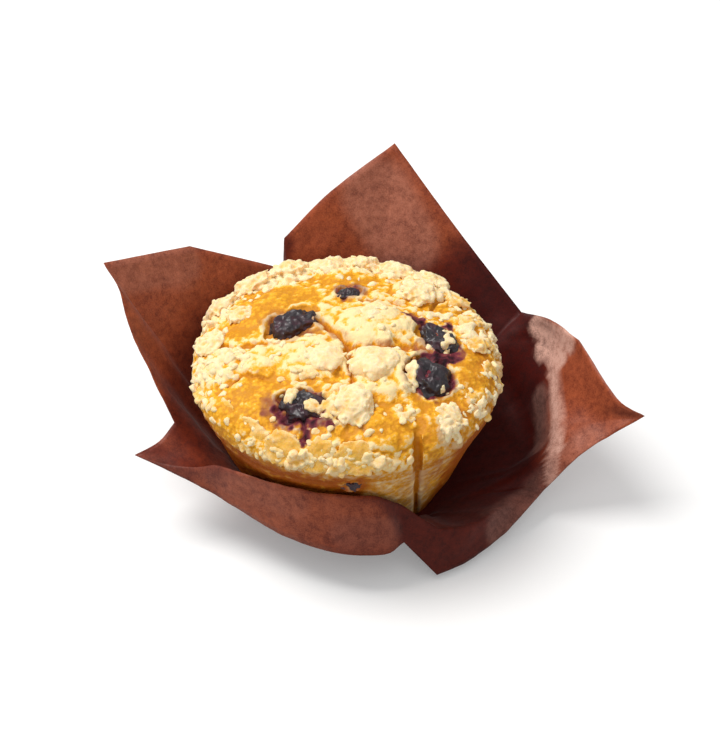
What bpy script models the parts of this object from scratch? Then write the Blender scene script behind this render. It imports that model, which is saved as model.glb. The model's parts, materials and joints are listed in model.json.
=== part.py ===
"""A blueberry streusel muffin standing in its opened tulip wrapper.

Units: metres in the scene, millimetres in the numbers below.
Frame: +Z up, the origin at the centre of the wrapper's flat foot, on the surface it stands on.
The front of the muffin is the -Y side, where the paper is folded outwards.
"""

from math import atan2, cos, hypot, pi, radians, sin

import bmesh
import bpy
from mathutils import Matrix, Vector, noise

MM = 0.001
GAP = 0.35  # clearance that neighbouring pieces keep

# Paper sheet
PAPER = 0.35  # thickness of the sheet as a solid
FOOT_RADIUS = 25.6  # flat foot of the paper cup
FOOT_RINGS = (9.0, 18.0)
ROWS_PER_SPAN = 3  # rows of faces between two points of a fold line
WALL_BULGE = 1.6  # how far a plain wall bellies outwards

# Cake
CAKE_FOOT_Z = PAPER + GAP
CAKE_FOOT_RADIUS = 24.6
RIM_RADIUS = 40.4
RIM_Z = 38.5
RIM_ROUNDING = 6.6
SHOULDER = (35.5, 44.6)  # where the dome meets the rounded rim, as (r, z)
FOOT_ROUNDING = 2.6
DOME_TOP_Z = 50.0
CAKE_STEPS = 60
GROOVE_X = 17.8  # the groove runs straight back from the front right of the side
GROOVE_WIDTH = 1.7
GROOVE_DEPTH = 2.6
GROOVE_FADE = 0.6  # height above the crust at which the groove's root runs out
GROOVE_REACH = 14.0  # how far its cutter stands out of the cake

# Fold lines of the sheet, anticlockwise from the right-hand corner. Each has the angle at which it
# leaves the foot, in degrees, whether the sheet is creased along it, and its points out to the free
# edge. A plain wall has only its free end; a folded one also has a low point and a ridge.
FOLD_LINES = {
    "right_corner": (-8, True, (49, 2, 9), (56, -2, 21), (76.6, -9, 30)),
    "right_hook": (2, False, (48, 10, 10), (56, 5, 23), (69.5, -5.5, 33)),
    "right_kink": (14, True, (46, 18, 12), (56, 12, 27), (60.5, 12, 38)),
    "right_back": (30, False, (41, 23, 14), (50, 26, 27), (53.5, 23, 36)),
    "notch_right_back": (47, True, (28, 26, 11), (39, 31, 21), (47, 36, 28)),
    "back_right": (64, False, (30, 47, 47)),
    "back_corner": (80, True, (12.7, 59.6, 67)),
    "back_left": (96, False, (-4.5, 52, 56.5)),
    "back_pleat": (110, True, (-17, 48, 44)),
    "notch_back_left": (117, True, (-17.5, 46, 34)),
    "left_inner": (123, False, (-19, 45.5, 36)),
    "left_peak": (141, True, (-41.5, 34, 52)),
    "left_corner": (163, True, (-62.5, 16.5, 60)),
    "left_hook": (170, False, (-58.5, 12, 55)),
    "left_side": (181, False, (-55.5, 6, 46)),
    "notch_left": (198, True, (-29, -8, 11), (-37, -9, 19), (-44.5, -7, 26)),
    "notch_left_front": (207, False, (-27, -13, 11), (-37, -14, 19), (-48.5, -11, 23)),
    "pleat_corner": (215, True, (-25, -17, 11), (-40, -18, 20), (-54.5, -15, 22)),
    "flap_start": (224, False, (-22.8, -22, 13), (-33.5, -22.5, 25), (-37, -22.5, 17.5)),
    "flap_left": (236, False, (-17.7, -26.2, 13), (-25.6, -29.4, 28.5), (-26, -29.2, 15)),
    "flap_front_left": (248, False, (-11.7, -29.4, 13), (-14.4, -35.2, 29.5), (-15, -36.2, 13)),
    "flap_front": (264, False, (-3.2, -32, 13), (-2, -38, 29), (-2.5, -41.5, 12.5)),
    "flap_front_right": (279, False, (5, -30.5, 11), (8, -35.5, 26), (9.5, -41.5, 12)),
    "notch_front": (291, True, (10.5, -27, 8), (14, -31.5, 20), (14.5, -37, 12)),
    "front_corner": (306, True, (19.5, -23.5, 9), (23.5, -34, 13.5), (23, -38.5, 2)),
    "front_lip": (318, False, (22.5, -18, 3), (31, -31.5, 12), (31, -34, 2.5)),
    "right_lip": (328, False, (27, -15, 3), (38, -24, 11), (41, -25.5, 4.5)),
    "right_edge": (338, True, (32, -11, 4), (47, -11, 7), (51.5, -13, 8)),
    "right_edge_back": (346, False, (41, -5, 6), (55, -7, 17), (62, -11, 20)),
}
COLUMN_WIDTH = 5.0  # widest column of faces at the free edge
CRISP_ROWS = (0.15, 0.6)  # share of the way out over which soft pleats turn into sharp creases
STRAIGHTNESS = 0.55  # how nearly a fold line runs straight between its points

# Blueberries: centre on the crust (x, y), depth of the centre below the crust, half lengths, turn in
# degrees about the upright axis
BLUEBERRIES = {
    "blueberry_back_left": (-14.0, 6.0, 2.2, (8.6, 4.9, 4.4), 42),
    "blueberry_back": (0.8, 18.2, 1.6, (3.9, 3.0, 2.8), 10),
    "blueberry_right_back": (23.6, 1.8, 2.4, (6.6, 4.6, 4.2), -42),
    "blueberry_right": (20.6, -13.6, 2.2, (6.4, 6.9, 4.8), 15),
    "blueberry_front_left": (-11.0, -24.6, 2.8, (7.0, 5.6, 5.0), -12),
}
SIDE_BERRY_ANGLE = 272.0  # a berry that breaks through the side, just above the folded paper
SIDE_BERRY_Z = 32.0
SIDE_BERRY_DEPTH = 1.0
SIDE_BERRY_HALF = (3.2, 2.4, 2.6)

# Streusel lumps lying on the crust: where they lie (x, y), half width and height
STREUSEL = [
    (-33.5, 21.0, 4.2, 3.4), (-25.0, 29.0, 4.6, 3.8), (-15.5, 34.0, 4.2, 4.2), (-5.5, 36.2, 4.0, 3.2),
    (4.0, 36.5, 4.2, 3.8), (13.0, 33.8, 4.2, 3.4), (22.0, 29.6, 4.0, 3.2), (18.8, 20.0, 4.6, 4.2),
    (28.6, 20.2, 3.2, 3.6), (31.6, 10.6, 3.0, 3.4), (33.4, 1.6, 3.0, 3.0), (7.4, -11.8, 6.4, 4.8),
    (-32.6, -10.0, 5.6, 3.6), (-35.0, 3.0, 3.6, 2.8), (-5.4, -9.6, 4.6, 3.0), (2.2, -25.4, 5.4, 4.4),
    (6.4, 6.2, 5.0, 3.2), (-27.8, 12.0, 3.4, 2.4), (-32.2, -22.4, 3.2, 2.6), (-25.0, -30.0, 3.2, 2.8),
    (-16.4, -35.2, 3.2, 2.8), (-6.8, -38.2, 3.0, 2.8), (2.4, -38.6, 3.2, 2.8), (25.0, -25.6, 3.4, 2.8),
    (33.0, -17.4, 3.2, 2.6), (38.0, -7.0, 2.8, 2.6), (39.2, 4.2, 2.8, 2.4), (36.8, 14.0, 2.8, 2.6),
]
POCKET_ROOM = 1.06  # size of a pocket in the crust over the size of its berry
LUMP_BIG = 5.2  # half width from which a lump gets a finer mesh

COLOURS = {
    "paper": ((0.27, 0.075, 0.035, 1.0), 0.62),
    "cake": ((0.80, 0.42, 0.08, 1.0), 0.75),
    "berry": ((0.022, 0.014, 0.032, 1.0), 0.35),
    "streusel": ((0.93, 0.76, 0.42, 1.0), 0.85),
}


def clear_scene():
    for old in list(bpy.data.objects):
        bpy.data.objects.remove(old, do_unlink=True)


def new_collection(name):
    collection = bpy.data.collections.new(name)
    bpy.context.scene.collection.children.link(collection)
    return collection


def material(name, kind):
    colour, roughness = COLOURS[kind]
    made = bpy.data.materials.new(name)
    made.use_nodes = True
    shader = made.node_tree.nodes["Principled BSDF"]
    shader.inputs["Base Color"].default_value = colour
    shader.inputs["Roughness"].default_value = roughness
    shader.inputs["Metallic"].default_value = 0.0
    made.diffuse_color = colour
    return made


def object_from_bmesh(bm, name, collection, kind=None):
    mesh = bpy.data.meshes.new(name)
    bm.to_mesh(mesh)
    bm.free()
    made = bpy.data.objects.new(name, mesh)
    collection.objects.link(made)
    if kind:
        mesh.materials.append(material(name, kind))
        mesh.shade_smooth()
    return made


def mix(a, b, t):
    return a + (b - a) * t


def smooth_step(low, high, value):
    t = min(max((value - low) / (high - low), 0.0), 1.0)
    return t * t * (3.0 - 2.0 * t)


def spline(p0, p1, p2, p3, t):
    """Catmull-Rom point between p1 and p2."""
    return 0.5 * (2 * p1 + (p2 - p0) * t + (2 * p0 - 5 * p1 + 4 * p2 - p3) * t**2
                  + (3 * p1 - p0 - 3 * p2 + p3) * t**3)


# ---------------------------------------------------------------- paper wrapper

def fold_line(angle, points):
    """Rows of one fold line, from the foot to the free edge, as a smooth curve through its points."""
    turn = radians(angle)
    out = Vector((cos(turn), sin(turn), 0.0))
    start = out * FOOT_RADIUS + Vector((0, 0, PAPER / 2))
    end = Vector(points[-1])
    if len(points) == 1:
        low = mix(start, end, 1 / 3) + out * WALL_BULGE
        high = mix(start, end, 2 / 3) + out * WALL_BULGE
    else:
        low, high = Vector(points[0]), Vector(points[1])
    knots = [start - out * 4, start, low, high, end, end + (end - high) * 0.6]
    rows = []
    for span in range(3):
        for step in range(ROWS_PER_SPAN):
            t = step / ROWS_PER_SPAN
            soft = spline(*knots[span:span + 4], t)
            straight = mix(knots[span + 1], knots[span + 2], t)
            rows.append(mix(soft, straight, STRAIGHTNESS))
    rows.append(end)
    return rows


def sheet_columns():
    """Every column of the sheet, anticlockwise: fold lines, and columns between them.

    Near the free edge the sheet turns sharply at its creases; near the foot it stays round.
    """
    lines = list(FOLD_LINES.values())
    ribs = [fold_line(line[0], line[2:]) for line in lines]
    creased = [line[1] for line in lines]
    count = len(ribs)
    last_row = len(ribs[0]) - 1
    columns = []
    for i in range(count):
        here, after = ribs[i], ribs[(i + 1) % count]
        before, beyond = ribs[i - 1], ribs[(i + 2) % count]
        steps = max(1, round((after[-1] - here[-1]).length / COLUMN_WIDTH))
        for step in range(steps):
            t = step / steps
            column = []
            for row in range(last_row + 1):
                a, b = here[row], after[row]
                soft = spline(before[row], a, b, beyond[row], t)
                left = 2 * a - b if creased[i] else before[row]
                right = 2 * b - a if creased[(i + 1) % count] else beyond[row]
                crisp = spline(left, a, b, right, t)
                column.append(mix(soft, crisp, smooth_step(*CRISP_ROWS, row / last_row)))
            columns.append(column)
    return columns


def build_wrapper(collection):
    """The opened sheet as one open surface, thickened to a closed solid."""
    bm = bmesh.new()
    columns = sheet_columns()
    middle = bm.verts.new(Vector((0, 0, PAPER / 2)) * MM)
    grid = []
    for column in columns:
        edge = column[0]
        turn = atan2(edge.y, edge.x)
        edge.x, edge.y, edge.z = FOOT_RADIUS * cos(turn), FOOT_RADIUS * sin(turn), PAPER / 2
        rings = [Vector((r * cos(turn), r * sin(turn), PAPER / 2)) for r in FOOT_RINGS]
        grid.append([bm.verts.new(point * MM) for point in rings + column])
    for i, here in enumerate(grid):
        after = grid[(i + 1) % len(grid)]
        bm.faces.new((middle, here[0], after[0]))
        for row in range(len(here) - 1):
            bm.faces.new((here[row], here[row + 1], after[row + 1], after[row]))
    wrapper = object_from_bmesh(bm, "wrapper", collection, "paper")
    shell = wrapper.modifiers.new("paper_thickness", "SOLIDIFY")
    shell.thickness = PAPER * MM
    shell.offset = 0.0
    shell.use_even_offset = False
    return wrapper


# ------------------------------------------------------------------------- cake

def side_radius(z):
    """Radius of the tapered side of the cake at height z."""
    return mix(CAKE_FOOT_RADIUS, RIM_RADIUS, (z - CAKE_FOOT_Z) / (RIM_Z - CAKE_FOOT_Z))


def cake_profile():
    """Half section of the cake, from the top of the dome down its side to the foot, as (r, z)."""
    points = []
    shoulder_r, shoulder_z = SHOULDER
    for step in range(8):
        r = shoulder_r * step / 8
        points.append((r, mix(DOME_TOP_Z, shoulder_z, (r / shoulder_r) ** 2.2)))
    centre_r = RIM_RADIUS - RIM_ROUNDING
    for step in range(6):
        turn = radians(mix(72, -12, step / 5))
        points.append((centre_r + RIM_ROUNDING * cos(turn), RIM_Z - 0.6 + RIM_ROUNDING * sin(turn)))
    for z in (28.0, 19.0, 10.0):
        points.append((side_radius(z), z))
    for step in range(4):
        turn = radians(mix(-15, -90, step / 3))
        points.append((CAKE_FOOT_RADIUS - 2.2 + FOOT_ROUNDING * cos(turn),
                       CAKE_FOOT_Z + FOOT_ROUNDING * (1 + sin(turn))))
    points.append((0.0, CAKE_FOOT_Z))
    return points


def crust_point(x, y, lift=0.0):
    """Point and outward normal of the crust over (x, y), pushed out by lift."""
    r = hypot(x, y)
    profile = cake_profile()
    for (r0, z0), (r1, z1) in zip(profile, profile[1:]):
        if r0 <= r <= r1:
            z = mix(z0, z1, (r - r0) / (r1 - r0))
            slope = (z1 - z0) / (r1 - r0)
            break
    else:
        r, z, slope = RIM_RADIUS, RIM_Z, -3.0
    turn = atan2(y, x)
    normal = Vector((-slope * cos(turn), -slope * sin(turn), 1.0)).normalized()
    return Vector((r * cos(turn), r * sin(turn), z)) + normal * lift, normal


def build_cake(collection, cutters):
    """The turned body of the cake, with its groove and the pockets that the berries sit in."""
    bm = bmesh.new()
    verts = [bm.verts.new(Vector((r, 0, z)) * MM) for r, z in cake_profile()]
    for a, b in zip(verts, verts[1:]):
        bm.edges.new((a, b))
    cake = object_from_bmesh(bm, "cake", collection, "cake")
    turned = cake.modifiers.new("turned", "SCREW")
    turned.steps = turned.render_steps = CAKE_STEPS
    turned.use_merge_vertices = True
    turned.merge_threshold = 0.00005
    for cutter in cutters:
        cut = cake.modifiers.new("cut_" + cutter.name, "BOOLEAN")
        cut.operation = "DIFFERENCE"
        cut.solver = "EXACT"
        cut.object = cutter
    return cake


def groove_cutter(collection):
    """A thin wedge, laid along the side and the rim, that leaves the groove of a paper pleat."""
    bm = bmesh.new()
    path = []
    for z in (CAKE_FOOT_Z - 2.0, 20.0, RIM_Z - 3.0):
        path.append((-((side_radius(z) ** 2 - GROOVE_X**2) ** 0.5), z))
    path.append((-33.0, RIM_Z + 4.5))
    path.append((-24.0, DOME_TOP_Z - 2.2))
    sections = []
    for index, (y, z) in enumerate(path):
        lean = radians(mix(0.0, 65.0, smooth_step(1.5, 4.0, index)))
        out = Vector((0.0, -cos(lean), sin(lean)))
        depth = GROOVE_DEPTH if index < len(path) - 1 else -GROOVE_FADE
        root = Vector((GROOVE_X, y, z)) - out * depth
        mouth = Vector((GROOVE_X, y, z)) + out * GROOVE_REACH
        half = Vector((GROOVE_WIDTH / 2, 0, 0))
        sections.append([bm.verts.new(point * MM) for point in
                         (root - half * 0.4, root + half * 0.4, mouth + half * 3, mouth - half * 3)])
    for a, b in zip(sections, sections[1:]):
        for k in range(4):
            bm.faces.new((a[k], a[(k + 1) % 4], b[(k + 1) % 4], b[k]))
    bm.faces.new(sections[0][::-1])
    bm.faces.new(sections[-1])
    bmesh.ops.recalc_face_normals(bm, faces=bm.faces)
    return guide(object_from_bmesh(bm, "groove_cutter", collection))


def guide(cutter):
    cutter.hide_render = True
    cutter.display_type = "WIRE"
    return cutter


# ------------------------------------------------------- blueberries and streusel

def berry_frame(name):
    """Centre and axes of a berry: its flat side lies along the crust."""
    x, y, depth, half, turn = BLUEBERRIES[name]
    centre, normal = crust_point(x, y, -depth)
    tilt = Vector((0, 0, 1)).rotation_difference(normal).to_matrix().to_4x4()
    return Matrix.Translation(centre * MM) @ tilt @ Matrix.Rotation(radians(turn), 4, "Z"), half


def side_berry_frame():
    turn = radians(SIDE_BERRY_ANGLE)
    radius = side_radius(SIDE_BERRY_Z) - SIDE_BERRY_DEPTH
    centre = Vector((radius * cos(turn), radius * sin(turn), SIDE_BERRY_Z))
    return Matrix.Translation(centre * MM) @ Matrix.Rotation(turn - pi / 2, 4, "Z"), SIDE_BERRY_HALF


def berry_solid(name, frame, half, grow, collection, kind=None):
    """A baked berry: a round fruit that has sunk a little and wrinkled."""
    bm = bmesh.new()
    bmesh.ops.create_icosphere(bm, subdivisions=3, radius=1.0)
    for vert in bm.verts:
        point = vert.co.copy()
        wrinkle = 1.0 if grow else 1.0 + 0.05 * noise.noise(point * 2.3 + Vector((len(name), 0, 0)))
        vert.co = Vector([(point[k] * wrinkle * half[k] + point[k] * grow) * MM for k in range(3)])
    berry = object_from_bmesh(bm, name, collection, kind)
    berry.matrix_world = frame
    return berry


def build_berries(collection, cutter_collection):
    """The berries, and a slightly larger cutter for the pocket of each."""
    cutters = []
    frames = {name: berry_frame(name) for name in BLUEBERRIES}
    frames["blueberry_side"] = side_berry_frame()
    for name, (frame, half) in frames.items():
        berry_solid(name, frame, half, 0.0, collection, "berry")
        roomy = [length * POCKET_ROOM for length in half]
        pocket = berry_solid(name + "_pocket", frame, roomy, GAP, cutter_collection)
        cutters.append(guide(pocket))
    return cutters


def build_streusel(collection):
    """Irregular lumps whose underside follows the crust."""
    for index, (x, y, half, height) in enumerate(STREUSEL, start=1):
        bm = bmesh.new()
        bmesh.ops.create_icosphere(bm, subdivisions=3 if half >= LUMP_BIG else 2, radius=1.0)
        seed = Vector((index * 3.7, index * 1.9, 0.0))
        for vert in bm.verts:
            direction = vert.co.normalized()
            lump = 1.0 + 0.28 * noise.noise(direction * 1.6 + seed)
            reach = direction * half * lump
            rise = max(direction.z, 0.0) * height * lump
            drop = min(direction.z, 0.0) * 0.25
            point, normal = crust_point(x + reach.x, y + reach.y, GAP + 0.3 + drop)
            vert.co = (point + normal * rise) * MM
        object_from_bmesh(bm, f"streusel_{index:02d}", collection, "streusel")


def main():
    clear_scene()
    parts = new_collection("muffin")
    guides = new_collection("cutters")
    build_wrapper(parts)
    cutters = build_berries(parts, guides)
    cutters.append(groove_cutter(guides))
    build_cake(parts, cutters)
    build_streusel(parts)


main()
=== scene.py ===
"""Blueberry streusel muffin standing in its opened tulip wrapper: finished pieces, floor and light.

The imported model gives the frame: the cake, its berries and its streusel lumps are refined from their
solids, and the wrapper is one thin sheet lofted through the fold lines of its solid.
"""

import json
from math import acos, atan2, cos, pi, radians, sin

import bmesh
import bpy
import numpy as np
from bpy.props import FloatProperty, FloatVectorProperty, IntProperty, PointerProperty
from mathutils import Euler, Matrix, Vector, noise
from mathutils.bvhtree import BVHTree

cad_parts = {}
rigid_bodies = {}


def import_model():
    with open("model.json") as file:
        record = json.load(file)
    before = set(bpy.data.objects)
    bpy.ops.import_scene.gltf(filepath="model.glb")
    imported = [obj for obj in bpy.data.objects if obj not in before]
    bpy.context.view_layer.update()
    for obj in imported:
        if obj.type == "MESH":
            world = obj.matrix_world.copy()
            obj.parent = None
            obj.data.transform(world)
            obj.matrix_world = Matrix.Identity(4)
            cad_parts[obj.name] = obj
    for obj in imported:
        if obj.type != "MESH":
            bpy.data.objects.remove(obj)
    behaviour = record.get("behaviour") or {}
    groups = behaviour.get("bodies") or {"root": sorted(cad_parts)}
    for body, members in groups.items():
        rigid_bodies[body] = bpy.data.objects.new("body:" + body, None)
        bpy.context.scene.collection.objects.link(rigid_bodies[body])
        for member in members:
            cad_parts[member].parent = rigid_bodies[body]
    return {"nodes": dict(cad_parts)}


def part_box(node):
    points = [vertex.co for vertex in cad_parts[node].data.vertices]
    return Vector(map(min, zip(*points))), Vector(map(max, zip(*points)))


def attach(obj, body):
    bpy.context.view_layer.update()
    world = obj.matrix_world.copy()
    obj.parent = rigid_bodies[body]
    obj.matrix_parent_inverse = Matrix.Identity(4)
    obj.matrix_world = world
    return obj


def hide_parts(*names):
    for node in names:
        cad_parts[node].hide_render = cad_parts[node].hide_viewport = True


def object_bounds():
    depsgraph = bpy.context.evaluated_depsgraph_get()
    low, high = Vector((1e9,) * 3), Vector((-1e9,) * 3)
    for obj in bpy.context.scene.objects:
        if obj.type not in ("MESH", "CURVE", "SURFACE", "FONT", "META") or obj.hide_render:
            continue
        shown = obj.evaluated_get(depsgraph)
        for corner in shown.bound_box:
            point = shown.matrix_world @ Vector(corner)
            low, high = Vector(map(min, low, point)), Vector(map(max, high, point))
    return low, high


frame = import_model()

bl_info = {
    "name": "Streusel Muffin",
    "version": (1, 0, 0),
    "blender": (4, 5, 0),
    "location": "View3D > Sidebar > Muffin",
    "description": "Blueberry streusel muffin in an opened paper tulip wrapper",
    "category": "Add Mesh",
}

MM = 0.001
CAD_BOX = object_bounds()
HOLLOW_ROUNDS = 10  # how far round a vertex the surface is evened to tell hollows from tips

# The sheet's foot and its fold lines, in millimetres, as in the solid: the angle at which a line
# leaves the foot, whether the sheet is creased along it, and its points out to the free edge.
FOOT_RADIUS = 25.6
FOOT_RINGS = (4, 9, 14, 19, 23)
PAPER_LEVEL = 0.175
WALL_BULGE = 1.6
CRISP_ROWS = (0.15, 0.6)
STRAIGHTNESS = 0.55
ROWS_PER_SPAN = 9
PLEATS = 46  # pressed into the wall of the cup
PLEAT_SEED = 5
FOLD_LINES = {
    "right_corner": (-8, True, (49, 2, 9), (56, -2, 21), (76.6, -9, 30)),
    "right_hook": (2, False, (48, 10, 10), (56, 5, 23), (69.5, -5.5, 33)),
    "right_kink": (14, True, (46, 18, 12), (56, 12, 27), (60.5, 12, 38)),
    "right_back": (30, False, (41, 23, 14), (50, 26, 27), (53.5, 23, 36)),
    "notch_right_back": (47, True, (28, 26, 11), (39, 31, 21), (47, 36, 28)),
    "back_right": (64, False, (30, 47, 47)),
    "back_corner": (80, True, (12.7, 59.6, 67)),
    "back_left": (96, False, (-4.5, 52, 56.5)),
    "back_pleat": (110, True, (-17, 48, 44)),
    "notch_back_left": (117, True, (-17.5, 46, 34)),
    "left_inner": (123, False, (-19, 45.5, 36)),
    "left_peak": (141, True, (-41.5, 34, 52)),
    "left_corner": (163, True, (-62.5, 16.5, 60)),
    "left_hook": (170, False, (-58.5, 12, 55)),
    "left_side": (181, False, (-55.5, 6, 46)),
    "notch_left": (198, True, (-29, -8, 11), (-37, -9, 19), (-44.5, -7, 26)),
    "notch_left_front": (207, False, (-27, -13, 11), (-37, -14, 19), (-48.5, -11, 23)),
    "pleat_corner": (215, True, (-25, -17, 11), (-40, -18, 20), (-54.5, -15, 22)),
    "flap_start": (224, False, (-22.8, -22, 13), (-33.5, -22.5, 25), (-37, -22.5, 17.5)),
    "flap_left": (236, False, (-17.7, -26.2, 13), (-25.6, -29.4, 28.5), (-26, -29.2, 15)),
    "flap_front_left": (248, False, (-11.7, -29.4, 13), (-14.4, -35.2, 29.5), (-15, -36.2, 13)),
    "flap_front": (264, False, (-3.2, -32, 13), (-2, -38, 29), (-2.5, -41.5, 12.5)),
    "flap_front_right": (279, False, (5, -30.5, 11), (8, -35.5, 26), (9.5, -41.5, 12)),
    "notch_front": (291, True, (10.5, -27, 8), (14, -31.5, 20), (14.5, -37, 12)),
    "front_corner": (306, True, (19.5, -23.5, 9), (23.5, -34, 13.5), (23, -38.5, 2)),
    "front_lip": (318, False, (22.5, -18, 3), (31, -31.5, 12), (31, -34, 2.5)),
    "right_lip": (328, False, (27, -15, 3), (38, -24, 11), (41, -25.5, 4.5)),
    "right_edge": (338, True, (32, -11, 4), (47, -11, 7), (51.5, -13, 8)),
    "right_edge_back": (346, False, (41, -5, 6), (55, -7, 17), (62, -11, 20)),
}

# Butter and painted shade darken the paper up to this far along the wall from the foot, and this strongly:
# angles, millimetres, strengths
BUTTER_AND_SHADE_ANGLES = (-40, -22, 0, 14, 30, 47, 64, 96, 141, 181, 215, 235, 280, 296, 312)
BUTTER_AND_SHADE_REACH = (38, 28, 34, 42, 54, 63, 47, 43, 38, 40, 38, 29, 29, 42, 43)
BUTTER_AND_SHADE_STRENGTH = (0.8, 0.9, 1, 1, 1, 1, 0.65, 0.5, 0.42, 0.45, 0.5, 0.7, 0.8, 0.8, 0.8)
# Painted shade along these creases too, where the folds fall dark: width, strength and the points of each
PAINTED_CREASE_SHADE = [
    (2.6, 0.7, [(-17, 48, 43), (-15.5, 47, 33)]),
    (4, 1, [(47, 36, 27), (39, 31, 21)]),
    (9, 0.32, [(3, -41, 14), (11, -40, 12)]),
    (4.5, 0.6, [(-44.5, -7, 26), (-37, -9, 19)]),
    (4, 0.6, [(-51, -14, 22), (-40, -18, 20)]),
]
# painted shade: this tint darkens the paper where shade falls in the cup and along creases, as well as where
# butter soaked it
BUTTER_AND_SHADE_TINT = (0.44, 0.17, 0.08, 1)  # laid over the fibre twice where butter has soaked it
WAX_COAT = 0.15  # coat weight of the dry, waxed paper
# Painted highlight: where the paper is coloured paler to stand for the sheen on its facets and creases:
# width, strength and the points of each stroke
PAINTED_SHEEN = [
    (3.4, 0.95, [(51, 26.5, 30.5), (57.6, 15, 35)]),
    (3, 0.95, [(52, 22, 26.5), (56, 15, 30)]),
    (2.7, 0.9, [(54.2, 16, 27), (54.4, 8, 22), (54.7, 1, 19.8), (54.4, -6, 17)]),
    (2.2, 0.65, [(54.4, -6, 17), (53, -12, 11)]),
    (4, 0.2, [(51, 12, 18), (50.5, 0, 13)]),
    (4.5, 0.06, [(0, -40.5, 18), (12, -39, 17)]),
    (5, 0.05, [(-50, -19, 22), (-14, -36, 25)]),
    (10, 0.20, [(8, 53, 55), (15, 48, 43)]),
    (6, 0.14, [(-58, 19, 55), (-44, 31, 48)]),
    (5, 0.14, [(62, -10, 22), (50, -14, 8), (38, -25, 6)]),
]

# The crust: shape of the dome and its rim, in millimetres
DOME_TOP = 50
SHOULDER = (35.5, 44.6)
RIM_CENTRE = (33.8, 37.9)
RIM_ROUNDING = 6.6
SHOULDER_TURN = radians(72)  # outward normal where the dome meets the rim, above level
GOLDEN_WINDOW = radians(-62)  # middle of the stretch of the side that baked golden
# Heights on the cake, in millimetres: where the side ends, plain and round the berry in it, and where
# the crust's mounds, flour, splits, tints and browned edge fade in or out
SIDE_END = 33.0
SIDE_END_BY_BERRY = 36.0
MOUND_FADE = (34.0, 42.0)
FLOUR_FADE = (34.0, 38.0)
SPLIT_FADE = (38.0, 41.0)
TINT_FADE = (33.0, 40.0)
BROWN_FADE = (34.5, 39.5)
POCKET_FADE = (0.86, 1.10)  # edge of a berry's pocket, in shares of its half lengths
POCKET_DEPTH = 1.6
SIDE_POCKET_DEPTH = 1.3
SIDE_POCKET_SIZE = 3.1

# Soft mounds where the dough rose between the fruits: x, y, half lengths, rise
MOUNDS = [
    (7.5, 4.5, 10.5, 9, 2.6), (-10, -8, 11.5, 8.5, 2), (10, -14.5, 9, 9, 2.2),
    (-21.5, -8.5, 8, 6, 1.6), (-31.5, -7.5, 6, 7.5, 1.4),
    (-24, 14, 10, 9, 1), (-27, -21, 10, 9, 1.2), (9, -31, 9, 5.5, 1.3),
    (21, 22, 9, 7, 1.4), (33, -12, 6, 12, 0.8), (0, 29, 9, 5, 1.2),
    (-3, -25.5, 6.5, 6.5, 1.4), (24, -28, 5.5, 6, 1), (34, 8, 4.5, 9, 0.9),
]
# Splits in the crust: width, depth and the points they run through
DEEPEST_SPLIT = 1.9
SPLITS = [
    (1.5, 1.9, [(-6.5, 6.5), (-3, 0.5), (0.5, -4.8), (4.5, -5.2), (11, -4.2), (17, -3.5)]),
    (1.1, 1.5, [(0.5, -4.8), (1.2, -10.5), (1.6, -17)]),
    (1.4, 1.9, [(3.2, -21.5), (3.8, -25.5), (3.2, -29.5)]),
    (0.9, 1.5, [(-10.5, -29.5), (-10.2, -34.5)]),
    (1, 1.2, [(-20.5, -1), (-27, -1.5), (-33, 0.5)]),
    (1, 1.2, [(14.5, 14.5), (10, 15.5), (4, 15)]),
    (0.9, 1.1, [(21.5, 14), (27, 22), (27.5, 29)]),
    (0.8, 1, [(-20, -14), (-26, -12), (-30, -15.5)]),
]
# Pockets that the dough leaves round the berries: x, y, half lengths and turn (degrees)
POCKETS = [
    (-14, 6, 8.3, 4.6, 42), (0.8, 19.2, 3.4, 2.9, 10), (23.4, 1.8, 6.4, 4.4, -42),
    (20.8, -13.6, 6, 6.7, 15), (-11.2, -24.8, 6.6, 5.4, -12),
]
# Tints of the crust: x, y, half lengths, and how floury (above 0) or how bare and golden (below 0)
TINTS = [
    (-31, -7, 6.5, 7.5, 1), (-9, -7, 17, 7.5, 0.6), (-17, -3.5, 9, 4, 0.4),
    (7.5, 4.5, 10.5, 10.5, 0.6), (10, -14.5, 9, 9, 0.6), (15.5, -15, 3, 6.5, 0.8),
    (-3, -25, 6, 7.5, 0.95), (8, 33.5, 19, 7, 0.95), (-18, 31, 8, 6, 0.8),
    (-34, 16, 6, 12, 0.8), (19, 24, 7, 6, 0.9), (31.5, 5, 3, 6, 0.8),
    (25.5, -28, 3.6, 3.6, 0.9), (15, -26.5, 3, 3.6, 0.9), (32, -20, 2.6, 4.5, 0.3),
    (38.5, 4, 2.4, 15, 0.8), (-4, -37.6, 17, 2.8, 0.6), (-26, -31, 6, 2.4, 0.25),
    (-4, 9, 6, 8, 0.35), (13, 15.5, 7, 5, 0.4),
    (-19.5, 15.5, 11.5, 9, -1), (-29.5, 6.5, 6, 6, -0.7), (-24.5, -21.5, 10.5, 8.5, -1),
    (-21.5, -13.5, 4.5, 2.5, -0.4), (-8, -33, 9, 3, -0.7), (9, -30, 8.5, 6.5, -0.9),
    (33, -4, 5, 12, -0.9), (24.5, -22.5, 9, 3.5, -0.9), (22.5, 17, 4.5, 4, -0.8),
    (2, 26.5, 8.5, 3, -0.7), (28, 24, 2.2, 6, -1), (20.5, -31.5, 3.5, 5, -0.8),
    (7, -11.5, 4, 3.5, -0.4), (33.5, 13, 3, 6, -0.8), (-9, 2.5, 3.5, 4, -0.3),
]
# Where the dough rose bare of crumbs, so that its surface is soft: x, y, half lengths
SOFT = [(7.5, 4.5, 11, 10), (-13, -8.5, 15, 8.5), (9.5, -14, 8, 8.5), (-3, 12, 6, 6)]
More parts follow.
